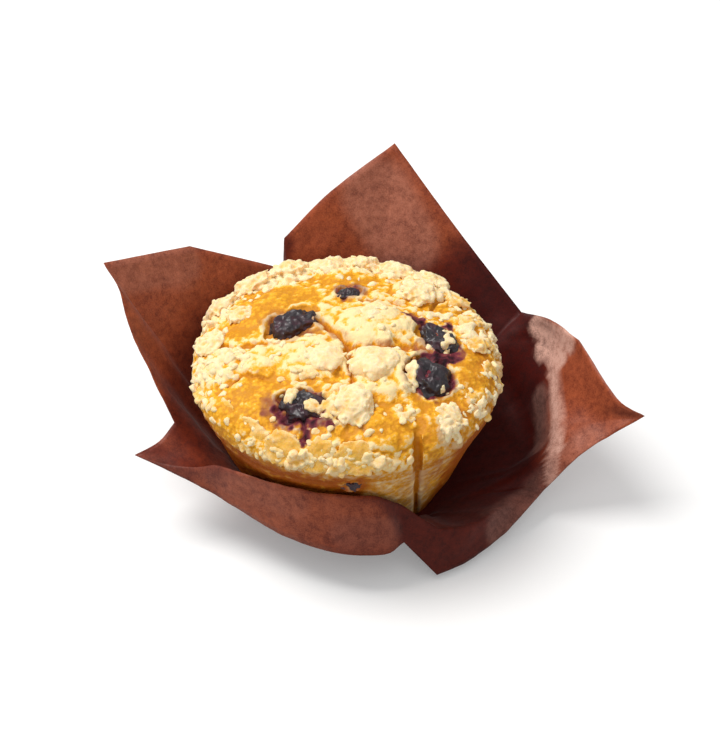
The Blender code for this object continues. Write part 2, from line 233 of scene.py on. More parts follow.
# Juice baked into the crust round the fruits: x, y, half lengths, strength
STAINS = [
    (-13.8, 5.6, 8.2, 6.4, 0.45), (0.8, 19.6, 4.2, 4.4, 0.62), (-16, -0.6, 4, 2.4, 0.3),
    (16.2, 9.6, 1.9, 1.5, 0.95), (18.4, 7.6, 2.2, 1.9, 1), (20.8, 5.2, 2.4, 2.6, 1),
    (22.6, 1, 3.2, 5, 1), (25.6, 7.2, 1.6, 2.6, 0.9), (27.8, -3, 2.2, 5.5, 0.8),
    (24, -6.5, 5.2, 3, 1), (19.4, -3.4, 2.4, 4.4, 0.5), (21, -13.6, 6.8, 7.6, 0.8),
    (-11.5, -25, 8, 6.4, 0.85), (-6, -30.2, 4.2, 1.8, 0.85), (-19, -23.8, 2.6, 3.4, 0.5),
    (37.4, -6.5, 1.3, 2.4, 0.7), (-10.2, -33, 0.9, 2.6, 0.9), (3, -31, 2.4, 1, 0.25),
]
# Crumbs in patches: x, y, half lengths, number and largest radius
PATCHES = [
    (-31, -7, 5.5, 7, 60, 1.4), (15.8, -15.5, 1.8, 5.5, 26, 1.3), (-3, -25, 5.5, 6.5, 60, 1.6),
    (-14.4, -21.6, 2.8, 2.4, 13, 1.7), (-9.6, -26, 1.6, 1.8, 6, 1.7), (26.4, 4.4, 1.2, 2.4, 6, 1.6),
    (25.6, -2.2, 2, 1.8, 7, 1.7), (31.6, 6, 2.2, 3.6, 20, 1.7), (20.5, 24, 5, 4.5, 40, 1.8),
    (28.5, 23, 2.6, 4, 16, 2.2), (34, 13, 1.6, 4, 8, 1.8),
    (25.5, -28, 3, 3, 24, 1.5), (15, -26.5, 2.2, 3.2, 20, 1.3), (32, -20, 2, 4, 7, 1),
    (35.6, -12.5, 1.6, 4.2, 5, 1), (-18, -0.2, 2.6, 1.4, 12, 0.8), (23, 12, 4.2, 1.8, 14, 1.2),
    (-14, -6.5, 8, 5, 8, 1.1), (9, -13, 6, 6, 6, 1), (-12, -15.5, 5, 2, 12, 1.2),
]
# Crumbs in bands along the rim: from and to angle (degrees), distances from the top of the dome,
# number, and smallest and largest radius
BANDS = [
    ((20, 140), (30, 43), 220, (0.9, 2.4)), ((140, 215), (34, 43.5), 85, (0.9, 2.1)),
    ((212, 292), (38.5, 43.5), 44, (0.9, 2)), ((-68, 20), (38, 43), 60, (0.8, 1.5)),
    ((0, 360), (4, 38), 8, (0.7, 1)),
]
# Where the streusel is baked darker: one lump, and the loose crumbs on one side (radians)
TOASTED_LUMP = "streusel_18"
TOASTED_SIDE = -1.9
# Waves in the skin of the loose crumbs: their size and height
CRUMB_WAVES = ((1.9 * MM, 0.20 * MM), (0.9 * MM, 0.10 * MM))
# Share of its solid's height that a streusel lump keeps, by where on the crust it lies
LUMP_SHARES = {"middle": 0.66, "rim": 0.46, "back rim": 0.78, "front or right rim": 0.28}

# The lamps' places and widths, in metres, and the spot the camera looks at, in millimetres. Places are
# from the middle of the muffin's box
WINDOW_PLACE, WINDOW_WIDTH = (-0.40, 0.13, 0.80), 0.54
FRONT_PLACE, FRONT_WIDTH = (0.10, -0.55, 0.85), 0.6
CAMERA_AIM = (-3.6, -0.3, -1.5)
FLOOR_WIDTH = 6.0
FLOOR_DROP = 0.05 * MM  # keeps the floor just under the paper


class PaperSettings(bpy.types.PropertyGroup):
    thickness: FloatProperty(name="Thickness", description="Thickness of the baking paper",
                             default=0.16 * MM, unit="LENGTH")
    column_width: FloatProperty(name="Column width", description="Widest column of faces at the free edge",
                                default=1.3 * MM, unit="LENGTH")
    wave: FloatProperty(name="Wave", description="Height of the sheet's broad waves",
                        default=1.0 * MM, unit="LENGTH")
    crinkle: FloatProperty(name="Crinkle", description="Height of its fine crinkles",
                           default=0.24 * MM, unit="LENGTH")
    light: FloatVectorProperty(name="Light fibre", description="Colour of the thinner fibre",
                               subtype="COLOR", size=4, default=(0.42, 0.092, 0.032, 1.0))
    deep: FloatVectorProperty(name="Dense fibre", description="Colour of the denser fibre",
                              subtype="COLOR", size=4, default=(0.14, 0.018, 0.005, 1.0))
    # painted highlight: this pale colour stands for the sheen on the paper's facets
    painted_sheen: FloatVectorProperty(name="Rubbed wax", description="Colour of the wax rubbed pale at a crease",
                                subtype="COLOR", size=4, default=(0.74, 0.43, 0.34, 1.0))


class CakeSettings(bpy.types.PropertyGroup):
    cell: FloatProperty(name="Cell", description="Size of the crust's mesh cells",
                        default=0.49 * MM, unit="LENGTH")
    lumpiness: FloatProperty(name="Lumpiness", description="Height of the crust's uneven baking",
                             default=0.75 * MM, unit="LENGTH")
    golden: FloatVectorProperty(name="Golden crust", description="Colour of the bare crust",
                                subtype="COLOR", size=4, default=(0.93, 0.45, 0.020, 1.0))
    pale: FloatVectorProperty(name="Pale crust", description="Colour of the floury crust",
                              subtype="COLOR", size=4, default=(0.95, 0.73, 0.38, 1.0))
    browned: FloatVectorProperty(name="Browned crust", description="Colour of the browned edges",
                                 subtype="COLOR", size=4, default=(0.37, 0.075, 0.002, 1.0))
    juice: FloatVectorProperty(name="Juice", description="Colour of the juice baked round a fruit",
                               subtype="COLOR", size=4, default=(0.20, 0.030, 0.045, 1.0))
    syrup: FloatVectorProperty(name="Syrup", description="Colour of the juice where it boiled thick",
                               subtype="COLOR", size=4, default=(0.012, 0.003, 0.007, 1.0))


class StreuselSettings(bpy.types.PropertyGroup):
    cell: FloatProperty(name="Cell", description="Size of a lump's mesh cells",
                        default=0.3 * MM, unit="LENGTH")
    crumb_cell: FloatProperty(name="Crumb cell", description="Size of the loose crumbs' mesh cells",
                              default=0.36 * MM, unit="LENGTH")
    seed: IntProperty(name="Seed", description="Seed of the crumbs' places and shapes", default=11)
    butter: FloatVectorProperty(name="Butter", description="Colour of the crumbs",
                                subtype="COLOR", size=4, default=(0.96, 0.765, 0.47, 1.0))
    toasted: FloatVectorProperty(name="Toasted", description="Colour of the toasted crumbs",
                                 subtype="COLOR", size=4, default=(0.86, 0.46, 0.07, 1.0))


class BerrySettings(bpy.types.PropertyGroup):
    wrinkle: FloatProperty(name="Wrinkle", description="Depth of the baked skin's wrinkles",
                           default=0.9 * MM, unit="LENGTH")
    skin: FloatVectorProperty(name="Skin", description="Colour of the skin",
                              subtype="COLOR", size=4, default=(0.007, 0.004, 0.008, 1.0))
    bloom: FloatVectorProperty(name="Bloom", description="Colour of the skin's bloom",
                               subtype="COLOR", size=4, default=(0.040, 0.026, 0.032, 1.0))
    flesh: FloatVectorProperty(name="Flesh", description="Colour where the skin has burst",
                               subtype="COLOR", size=4, default=(0.10, 0.008, 0.028, 1.0))


class StageSettings(bpy.types.PropertyGroup):
    floor: FloatVectorProperty(name="Floor", description="Colour of the floor",
                               subtype="COLOR", size=4, default=(0.78, 0.78, 0.78, 1.0))
    room_light: FloatProperty(name="Room light", description="Strength of the even light", default=0.50)
    key_power: FloatProperty(name="Key power", description="Power of the window-like light from the left",
                             default=7.2, unit="POWER")
    fill_power: FloatProperty(name="Fill power", description="Power of the light from the front",
                              default=0.9, unit="POWER")
    distance: FloatProperty(name="Camera distance", description="From the camera to the muffin",
                            default=0.72, unit="LENGTH")
    elevation: FloatProperty(name="Camera elevation", description="Above the floor",
                             default=radians(40.0), subtype="ANGLE")
    lens: FloatProperty(name="Lens", description="Focal length in millimetres", default=135.07)


# ------------------------------ small helpers

def mix(a, b, t):
    return a + (b - a) * t


def smooth_step(low, high, value):
    """0 at low and 1 at high, with a soft start and end; low may be the larger."""
    t = min(max((value - low) / (high - low), 0.0), 1.0)
    return t * t * (3.0 - 2.0 * t)


def spline(p0, p1, p2, p3, t):
    """Catmull-Rom point between p1 and p2."""
    return 0.5 * (2 * p1 + (p2 - p0) * t + (2 * p0 - 5 * p1 + 4 * p2 - p3) * t**2
                  + (3 * p1 - p0 - 3 * p2 + p3) * t**3)


def nodes_named(start):
    """Names of the CAD nodes that begin so, in order."""
    return sorted(name for name in frame["nodes"] if name.startswith(start))


def piece_from_mesh(name, mesh):
    piece = bpy.data.objects.new(name, mesh)
    bpy.context.scene.collection.objects.link(piece)
    return piece


def dress(mesh, surface):
    """Gives a mesh smooth shading and one material."""
    mesh.shade_smooth()
    mesh.materials.clear()
    mesh.materials.append(surface)


def joined(*meshes):
    """One bmesh of several meshes."""
    bm = bmesh.new()
    for mesh in meshes:
        bm.from_mesh(mesh)
    return bm


def settle(piece):
    """Replaces a piece's mesh by what its modifiers make of it."""
    graph = bpy.context.evaluated_depsgraph_get()
    mesh = bpy.data.meshes.new_from_object(piece.evaluated_get(graph))
    piece.modifiers.clear()
    piece.data = mesh
    return mesh


def remesh(piece, cell, rounds=0):
    """Rebuilds a piece as one skin of even cells, smoothed a few rounds."""
    skin = piece.modifiers.new("skin", "REMESH")
    skin.mode = "VOXEL"
    skin.voxel_size = cell
    if rounds:
        soften = piece.modifiers.new("soften", "SMOOTH")
        soften.factor = 0.5
        soften.iterations = rounds
    return settle(piece)


def solid_of(node, name):
    """A welded copy of a CAD node, as a new piece."""
    bm = bmesh.new()
    bm.from_mesh(frame["nodes"][node].data)
    bmesh.ops.remove_doubles(bm, verts=bm.verts, dist=0.002 * MM)
    mesh = bpy.data.meshes.new(name)
    bm.to_mesh(mesh)
    bm.free()
    return piece_from_mesh(name, mesh)


def vertex_values(mesh, name, values):
    """Stores one number for each vertex under a name that the material reads."""
    layer = mesh.attributes.new(name, "FLOAT", "POINT")
    layer.data.foreach_set("value", np.asarray(values, dtype=np.float32))


def push_out(mesh, height):
    """Moves each vertex along its normal by height(point, normal), all in metres."""
    moved = [v.co + v.normal * height(v.co, v.normal) for v in mesh.vertices]
    mesh.vertices.foreach_set("co", np.array(moved, dtype=np.float32).ravel())
    mesh.update()


def billow(point, octaves):
    """Sum of noises; octaves is (size of the waves, height) pairs, in metres."""
    return sum(height * noise.noise(point / size) for size, height in octaves)


# ------------------------------ node helpers

def add_node(tree, kind, place=(0, 0), **values):
    """A node with its properties, and its inputs by index or name after 'in_'."""
    node = tree.nodes.new(kind)
    node.location = place
    for key, value in values.items():
        if key.startswith("in_"):
            socket = key[3:]
            node.inputs[int(socket) if socket.isdigit() else socket.replace("_", " ")].default_value = value
        else:
            setattr(node, key, value)
    return node


def new_group(name, inputs, outputs):
    """An empty shader node group with named sockets, and its input and output nodes."""
    tree = bpy.data.node_groups.new(name, "ShaderNodeTree")
    for socket, kind, default in inputs:
        made = tree.interface.new_socket(socket, in_out="INPUT", socket_type=kind)
        made.default_value = default
    for socket, kind in outputs:
        tree.interface.new_socket(socket, in_out="OUTPUT", socket_type=kind)
    return tree, add_node(tree, "NodeGroupInput", (-900, 0)), add_node(tree, "NodeGroupOutput", (700, 0))


def place_group(tree, group, place, **values):
    node = add_node(tree, "ShaderNodeGroup", place, node_tree=group)
    for key, value in values.items():
        node.inputs[key].default_value = value
    return node


def feed(tree, socket, value):
    """Gives an input a plain value, or links another node's socket to it."""
    if isinstance(value, bpy.types.NodeSocket):
        tree.links.new(value, socket)
    else:
        socket.default_value = value


def mix_colour(tree, place, factor, a, b, blend="MIX"):
    """A colour mix; factor, a and b are sockets or plain values."""
    node = add_node(tree, "ShaderNodeMix", place, data_type="RGBA", blend_type=blend)
    for index, value in ((0, factor), (6, a), (7, b)):
        feed(tree, node.inputs[index], value)
    return node.outputs[2]


def calculate(tree, place, operation, a, b=0.0, c=0.0, clamp=False):
    """One step of arithmetic on sockets or plain values; c counts where the operation takes a third."""
    node = add_node(tree, "ShaderNodeMath", place, operation=operation, use_clamp=clamp)
    for index, value in enumerate((a, b, c)):
        feed(tree, node.inputs[index], value)
    return node.outputs[0]


def cloud_group():
    """Cloudy mask with fine flecks: how dense or how baked a spot is."""
    group, given, made = new_group(
        "cloudy_tone",
        [("Scale", "NodeSocketFloat", 300.0), ("Flecks", "NodeSocketFloat", 0.3),
         ("Contrast", "NodeSocketFloat", 1.6)],
        [("Tone", "NodeSocketFloat")])
    place = add_node(group, "ShaderNodeTexCoord", (-900, 260))
    broad = add_node(group, "ShaderNodeTexNoise", (-640, 200), in_Detail=4.0, in_Roughness=0.6)
    fine = add_node(group, "ShaderNodeTexNoise", (-640, -80), in_Detail=2.0, in_Roughness=0.7)
    group.links.new(place.outputs["Object"], broad.inputs["Vector"])
    group.links.new(place.outputs["Object"], fine.inputs["Vector"])
    group.links.new(given.outputs["Scale"], broad.inputs["Scale"])
    group.links.new(calculate(group, (-800, -80), "MULTIPLY", given.outputs["Scale"], 5.0),
                    fine.inputs["Scale"])
    blend = add_node(group, "ShaderNodeMix", (-380, 60), data_type="FLOAT")
    group.links.new(given.outputs["Flecks"], blend.inputs[0])
    group.links.new(broad.outputs["Fac"], blend.inputs[2])
    group.links.new(fine.outputs["Fac"], blend.inputs[3])
    centred = calculate(group, (-180, 60), "SUBTRACT", blend.outputs[0], 0.5)
    spread = calculate(group, (20, 60), "MULTIPLY", centred, given.outputs["Contrast"])
    group.links.new(calculate(group, (220, 60), "ADD", spread, 0.5, clamp=True), made.inputs["Tone"])
    return group


def tones_group():
    """Three colours spread over one mask."""
    group, given, made = new_group(
        "three_tones",
        [("Low", "NodeSocketColor", (0, 0, 0, 1)), ("Middle", "NodeSocketColor", (0.5, 0.5, 0.5, 1)),
         ("High", "NodeSocketColor", (1, 1, 1, 1)), ("Tone", "NodeSocketFloat", 0.5)],
        [("Colour", "NodeSocketColor")])
    lower = calculate(group, (-500, 120), "MULTIPLY", given.outputs["Tone"], 2.0, clamp=True)
    doubled = calculate(group, (-500, -80), "MULTIPLY", given.outputs["Tone"], 2.0)
    upper = calculate(group, (-320, -80), "SUBTRACT", doubled, 1.0, clamp=True)
    first = mix_colour(group, (-80, 120), lower, given.outputs["Low"], given.outputs["Middle"])
    group.links.new(mix_colour(group, (180, 40), upper, first, given.outputs["High"]),
                    made.inputs["Colour"])
    return group


def grain_group():
    """Height of a fine uneven grain: pores, crumbs or fibre, by its scale."""
    group, given, made = new_group(
        "fine_grain",
        [("Scale", "NodeSocketFloat", 1200.0), ("Pits", "NodeSocketFloat", 0.4)],
        [("Height", "NodeSocketFloat")])
    place = add_node(group, "ShaderNodeTexCoord", (-900, 260))
    rough = add_node(group, "ShaderNodeTexNoise", (-640, 200), in_Detail=3.0, in_Roughness=0.65)
    pits = add_node(group, "ShaderNodeTexVoronoi", (-640, -80))
    for texture in (rough, pits):
        group.links.new(place.outputs["Object"], texture.inputs["Vector"])
        group.links.new(given.outputs["Scale"], texture.inputs["Scale"])
    cut = calculate(group, (-380, -80), "MULTIPLY", pits.outputs["Distance"], given.outputs["Pits"])
    group.links.new(calculate(group, (-140, 60), "ADD", rough.outputs["Fac"], cut), made.inputs["Height"])
    return group


def shared_groups():
    """The effects that several materials use, built once."""
    made = {}
    for name, build in (("cloudy_tone", cloud_group), ("three_tones", tones_group),
                        ("fine_grain", grain_group)):
        made[name] = bpy.data.node_groups.get(name) or build()
    return made


def new_material(name):
    surface = bpy.data.materials.new(name)
    surface.use_nodes = True
    tree = surface.node_tree
    return surface, tree, tree.nodes["Principled BSDF"]


def add_grain(tree, shader, groups, scale, pits, strength, distance):
    """Raises a fine grain on a material."""
    grain = place_group(tree, groups["fine_grain"], (-540, -340), Scale=scale, Pits=pits)
    bump = add_node(tree, "ShaderNodeBump", (-200, -320), in_Strength=strength, in_Distance=distance)
    tree.links.new(grain.outputs["Height"], bump.inputs["Height"])
    tree.links.new(bump.outputs["Normal"], shader.inputs["Normal"])


def spread_roughness(tree, shader, mask, at_none, at_full):
    """Lets the roughness follow a mask."""
    spread = add_node(tree, "ShaderNodeMapRange", (-300, -100), in_To_Min=at_none, in_To_Max=at_full)
    tree.links.new(mask, spread.inputs["Value"])
    tree.links.new(spread.outputs["Result"], shader.inputs["Roughness"])


def read_value(tree, place, name):
    """A number stored on the vertices, as a node."""
    return add_node(tree, "ShaderNodeAttribute", place, attribute_name=name).outputs["Fac"]


# ------------------------------ paper wrapper

def fold_line(angle, points, rows_per_span):
    """Rows of one fold line, from the foot to the free edge, as a smooth curve through its points."""
    turn = radians(angle)
    out = Vector((cos(turn), sin(turn), 0.0))
    start = out * FOOT_RADIUS + Vector((0, 0, PAPER_LEVEL))
    end = Vector(points[-1])
    if len(points) == 1:
        low = mix(start, end, 1 / 3) + out * WALL_BULGE
        high = mix(start, end, 2 / 3) + out * WALL_BULGE
    else:
        low, high = Vector(points[0]), Vector(points[1])
    knots = [start - out * 4, start, low, high, end, end + (end - high) * 0.6]
    rows = []
    for span in range(3):
        for step in range(rows_per_span):
            t = step / rows_per_span
            soft = spline(*knots[span:span + 4], t)
            straight = mix(knots[span + 1], knots[span + 2], t)
            rows.append(mix(soft, straight, STRAIGHTNESS))
    rows.append(end)
    return rows


def sheet_columns(width, rows_per_span):
    """Every column of the sheet, anticlockwise: fold lines, and columns between them.

    Near the free edge the sheet turns sharply at its creases; near the foot it stays round.
    """
    lines = list(FOLD_LINES.values())
    ribs = [fold_line(line[0], line[2:], rows_per_span) for line in lines]
    creased = [line[1] for line in lines]
    count, last_row = len(ribs), len(ribs[0]) - 1
    columns = []
    for i in range(count):
        here, after = ribs[i], ribs[(i + 1) % count]
        before, beyond = ribs[i - 1], ribs[(i + 2) % count]
        steps = max(1, round((after[-1] - here[-1]).length / width))
        for step in range(steps):
            t = step / steps
            column = []
            for row in range(last_row + 1):
                a, b = here[row], after[row]
                soft = spline(before[row], a, b, beyond[row], t)
                left = 2 * a - b if creased[i] else before[row]
                right = 2 * b - a if creased[(i + 1) % count] else beyond[row]
                crisp = spline(left, a, b, right, t)
                column.append(mix(soft, crisp, smooth_step(*CRISP_ROWS, row / last_row)))
            columns.append(column)
    return columns


def pressed_pleats():
    """Where the mould pressed small pleats into the cup's wall: angle, width and height of each."""
    pick = np.random.default_rng(PLEAT_SEED)
    return [(angle, pick.uniform(0.5, 1.1), pick.uniform(-0.34, 0.34))
            for angle in np.arange(-pi, pi, 2 * pi / PLEATS) + pick.uniform(-0.05, 0.05, PLEATS)]


def stroke_distance(point, stroke):
    """Distance from a point to a line of points."""
    nearest = 1e9
    for a, b in zip(stroke, stroke[1:]):
        a, b = Vector(a), Vector(b)
        along = min(max((point - a).dot(b - a) / (b - a).length_squared, 0.0), 1.0)
        nearest = min(nearest, (point - mix(a, b, along)).length)
    return nearest


def along_strokes(point, strokes, near, far):
    """Strength of the strongest stroke at a point, fading from near to far, in shares of its width."""
    return max(strength * (1.0 - smooth_step(near, far, stroke_distance(point, stroke) / width))
               for width, strength, stroke in strokes)


def sheet_relief(wave, crinkle):
    """Height of the sheet's waves and crinkles at a point, by its share of the way out."""
    pleats = pressed_pleats()

    def relief(point, share):
        turn, radius = atan2(point.y, point.x), Vector((point.x, point.y)).length / MM
        inside = 1.0 - 0.85 * smooth_step(0.80, 1.0, share)
        pleat = sum(height * np.exp(-(((turn - angle + pi) % (2 * pi) - pi) * radius / width) ** 2)
                    for angle, width, height in pleats)
        pleat *= smooth_step(0.02, 0.15, share) * (1.0 - smooth_step(0.25, 0.75, share)) * MM
        broad = wave * noise.noise(point / (24 * MM)) * smooth_step(0.2, 0.8, share)
        cells = noise.voronoi(point / (17 * MM))[0]
        crease = (min(cells[1] - cells[0], 0.35) - 0.2) * wave * smooth_step(0.15, 0.5, share)
        fine = crinkle * (noise.noise(point / (4.5 * MM)) + 0.5 * noise.noise(point / (1.9 * MM)))
        return pleat + (broad + crease) * inside + fine * smooth_step(0.0, 0.3, share)

    return relief


def paper_material(settings, groups):
    """Brown baking paper: cloudy fibre and a waxed sheen; darkened in the cup and along creases by butter
    and by painted shade, and lightened on its facets by a painted highlight.
    """
    surface, tree, shader = new_material("baking_paper_fibre")
    cloud = place_group(tree, groups["cloudy_tone"], (-1100, 260), Scale=560.0, Flecks=0.5, Contrast=4.6)
    broad = place_group(tree, groups["cloudy_tone"], (-1100, 60), Scale=150.0, Flecks=0.35, Contrast=3.4)
    tone = add_node(tree, "ShaderNodeMix", (-880, 200), data_type="FLOAT", in_0=0.42)
    tree.links.new(cloud.outputs["Tone"], tone.inputs[2])
    tree.links.new(broad.outputs["Tone"], tone.inputs[3])
    tones = place_group(tree, groups["three_tones"], (-680, 260), Low=settings.deep,
                        Middle=mix(Vector(settings.deep), Vector(settings.light), 0.55),
                        High=settings.light)
    tree.links.new(tone.outputs[0], tones.inputs["Tone"])
    # the stored mask darkens the fibre for butter and for painted shade
    butter = read_value(tree, (-680, 20), "butter_and_shade")
    butter_and_shade = tones.outputs["Colour"]
    for step in (0, 1):
        butter_and_shade = mix_colour(tree, (-520 + 120 * step, 260), butter, butter_and_shade, BUTTER_AND_SHADE_TINT, blend="MULTIPLY")
    # painted highlight: the paper is coloured paler where its sheen falls
    pale = calculate(tree, (-440, -20), "MULTIPLY", read_value(tree, (-680, -120), "painted_sheen"),
                     calculate(tree, (-680, -240), "ADD", tone.outputs[0], 0.35), clamp=True)
    painted_sheen = mix_colour(tree, (-220, 260), pale, butter_and_shade, tuple(settings.painted_sheen))
    tree.links.new(painted_sheen, shader.inputs["Base Color"])
    spread_roughness(tree, shader, tone.outputs[0], 0.64, 0.50)
    add_grain(tree, shader, groups, 900.0, 0.2, 0.45, 0.12 * MM)
    waxed = calculate(tree, (-220, -40), "MULTIPLY_ADD", butter, -WAX_COAT, WAX_COAT)
    tree.links.new(waxed, shader.inputs["Coat Weight"])
    shader.inputs["Coat Roughness"].default_value = 0.34
    shader.inputs["Specular IOR Level"].default_value = 0.22
    shader.inputs["Sheen Weight"].default_value = 0.06
    return surface


class MUFFIN_OT_wrapper(bpy.types.Operator):
    """Lofts the opened baking paper through its fold lines and gives it its fibre"""
    bl_idname = "muffin.wrapper"
    bl_label = "Paper wrapper"

    def paint(self, mesh, walls):
        """Stores where butter and painted shade darken the paper, and where a painted highlight lightens it.
        """
        butter_and_shade, painted_sheen = [], []
        for vertex, wall in zip(mesh.vertices, walls):
            wander = 5.0 * noise.noise(vertex.co / (9 * MM)) + 2.0 * noise.noise(vertex.co / (3 * MM))
            point = vertex.co / MM
            turn = np.degrees(atan2(point.y, point.x))
            reach_here = np.interp(turn, BUTTER_AND_SHADE_ANGLES, BUTTER_AND_SHADE_REACH, period=360)
            strength_here = np.interp(turn, BUTTER_AND_SHADE_ANGLES, BUTTER_AND_SHADE_STRENGTH, period=360)
            inner = strength_here * (1.0 - smooth_step(-7.0, 4.0, wall + 0.6 * wander - reach_here))
            butter_and_shade.append(max(inner, along_strokes(point, PAINTED_CREASE_SHADE, 0.5, 1.3)))
            painted_sheen.append(along_strokes(point, PAINTED_SHEEN, 0.7, 1.2))
        vertex_values(mesh, "butter_and_shade", butter_and_shade)
        vertex_values(mesh, "painted_sheen", painted_sheen)

    def execute(self, context):
        settings = context.scene.muffin_paper
        columns = sheet_columns(settings.column_width / MM, ROWS_PER_SPAN)
        bm = bmesh.new()
        middle = bm.verts.new((0, 0, PAPER_LEVEL * MM))
        grid, shares, walls = [], [0.0], [0.0]
        for column in columns:
            turn = atan2(column[0].y, column[0].x)
            rings = [Vector((r * cos(turn), r * sin(turn), PAPER_LEVEL)) for r in (*FOOT_RINGS, FOOT_RADIUS)]
            grid.append([bm.verts.new(point * MM) for point in rings + column[1:]])
            shares += [0.0] * len(rings) + [row / (len(column) - 1) for row in range(1, len(column))]
            steps = [(after - here).length for here, after in zip(column, column[1:])]
            walls += [0.0] * len(rings) + np.cumsum(steps).tolist()
        for here, after in zip(grid, grid[1:] + grid[:1]):
            bm.faces.new((middle, here[0], after[0]))
            for row in range(len(here) - 1):
                bm.faces.new((here[row], here[row + 1], after[row + 1], after[row]))
        mesh = bpy.data.meshes.new("wrapper_sheet")
        bm.to_mesh(mesh)
        bm.free()
        relief = sheet_relief(settings.wave, settings.crinkle)
        moved = [v.co + v.normal * relief(v.co, share) for v, share in zip(mesh.vertices, shares)]
        for point in moved:
            point.z = max(point.z, PAPER_LEVEL * MM)
        mesh.vertices.foreach_set("co", np.array(moved, dtype=np.float32).ravel())
        mesh.update()
        self.paint(mesh, walls)
        dress(mesh, paper_material(settings, shared_groups()))
        wrapper = piece_from_mesh("wrapper_sheet", mesh)
        shell = wrapper.modifiers.new("paper_thickness", "SOLIDIFY")
        shell.thickness = settings.thickness
        shell.offset = 0.0
        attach(wrapper, "root")
        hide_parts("wrapper")
        return {"FINISHED"}


# ------------------------------ cake

def crust_profile(along):
    """Point and outward normal, in the half plane (r, z), at a distance along the crust from the top."""
    if along < SHOULDER[0]:
        share = along / SHOULDER[0]
        slope = -2.2 * (DOME_TOP - SHOULDER[1]) / SHOULDER[0] * share ** 1.2
        point = (along, mix(DOME_TOP, SHOULDER[1], share ** 2.2))
        return point, Vector((-slope, 1.0)).normalized()
    turn = SHOULDER_TURN - (along - SHOULDER[0]) / RIM_ROUNDING
    normal = Vector((cos(turn), sin(turn)))
    return (RIM_CENTRE[0] + RIM_ROUNDING * normal.x, RIM_CENTRE[1] + RIM_ROUNDING * normal.y), normal


def reach(x, y, oval):
    """Distance of (x, y) from an oval's middle: 1 on its outline."""
    return (((x - oval[0]) / oval[2]) ** 2 + ((y - oval[1]) / oval[3]) ** 2) ** 0.5


def flouriness(x, y):
    """How much streusel is baked into the crust at (x, y): 0 bare and golden, 1 floury."""
    total = 0.45
    for oval in TINTS:
        total += oval[4] * (1.0 - smooth_step(0.45, 1.3, reach(x, y, oval)))
    return min(max(total, 0.0), 1.0)


def mound_rise(x, y):
    """Height of the mounds at (x, y); where two meet, a crease is left between them."""
    return max(oval[4] * max(1.0 - reach(x, y, oval) ** 2, 0.0) ** 0.7 for oval in MOUNDS)


def stain(x, y):
    return max(oval[4] * (1.0 - smooth_step(0.75, 1.15, reach(x, y, oval))) for oval in STAINS)


def knob(point, size):
    """Rounded knobs of about the given size: 1 on top of one, 0 between them."""
    away = noise.voronoi(point / size)[0][0] / 0.62
    return 1.0 - min(away, 1.0) ** 2


def hollows(mesh, full):
    """How hollow the surface is at each vertex, from -1 on a tip to 1 in a hollow."""
    count = len(mesh.vertices)
    points, normals = np.empty(count * 3), np.empty(count * 3, dtype=np.float32)
    mesh.vertices.foreach_get("co", points)
    mesh.vertex_normals.foreach_get("vector", normals)
    points, normals = points.reshape(-1, 3), normals.reshape(-1, 3)
    ends = np.empty(len(mesh.edges) * 2, dtype=np.int64)
    mesh.edges.foreach_get("vertices", ends)
    ends = ends.reshape(-1, 2)
    near, far = np.concatenate([ends[:, 0], ends[:, 1]]), np.concatenate([ends[:, 1], ends[:, 0]])
    links = np.maximum(np.bincount(near, minlength=count), 1)
    even = points
    for _ in range(HOLLOW_ROUNDS):
        even = np.stack([np.bincount(near, weights=even[far, axis], minlength=count) / links
                         for axis in range(3)], axis=1)
    return np.clip(((even - points) * normals).sum(axis=1) / full, -1.0, 1.0)


def split_depth(x, y):
    """Depth of the splits in the crust at (x, y)."""
    return along_strokes(Vector((x, y)), SPLITS, 0.0, 1.0)


def berry_cover(x, y):
    """How far (x, y) is from the middle of the nearest pocket: 1 on its outline."""
    nearest = 9.0
    for bx, by, half_x, half_y, angle in POCKETS:
        turn = radians(angle)
        along = (x - bx) * cos(turn) + (y - by) * sin(turn)
        across = (y - by) * cos(turn) - (x - bx) * sin(turn)
        nearest = min(nearest, ((along / half_x) ** 2 + (across / half_y) ** 2) ** 0.5)
    return nearest


def side_height(point, lift, berry):
    """Height of the baked side, open round the berry in it, and how open it is."""
    beside = (point - berry) / SIDE_POCKET_SIZE + Vector((0.15, 0.0, 0.25)) * lift
    gap = 1.0 - smooth_step(0.55, 0.95, beside.length / MM + 0.3 * noise.noise(point / (1.5 * MM)))
    return mix(0.4 * lift - 0.12 * MM * knob(point, 1.3 * MM), -SIDE_POCKET_DEPTH * MM, gap), gap


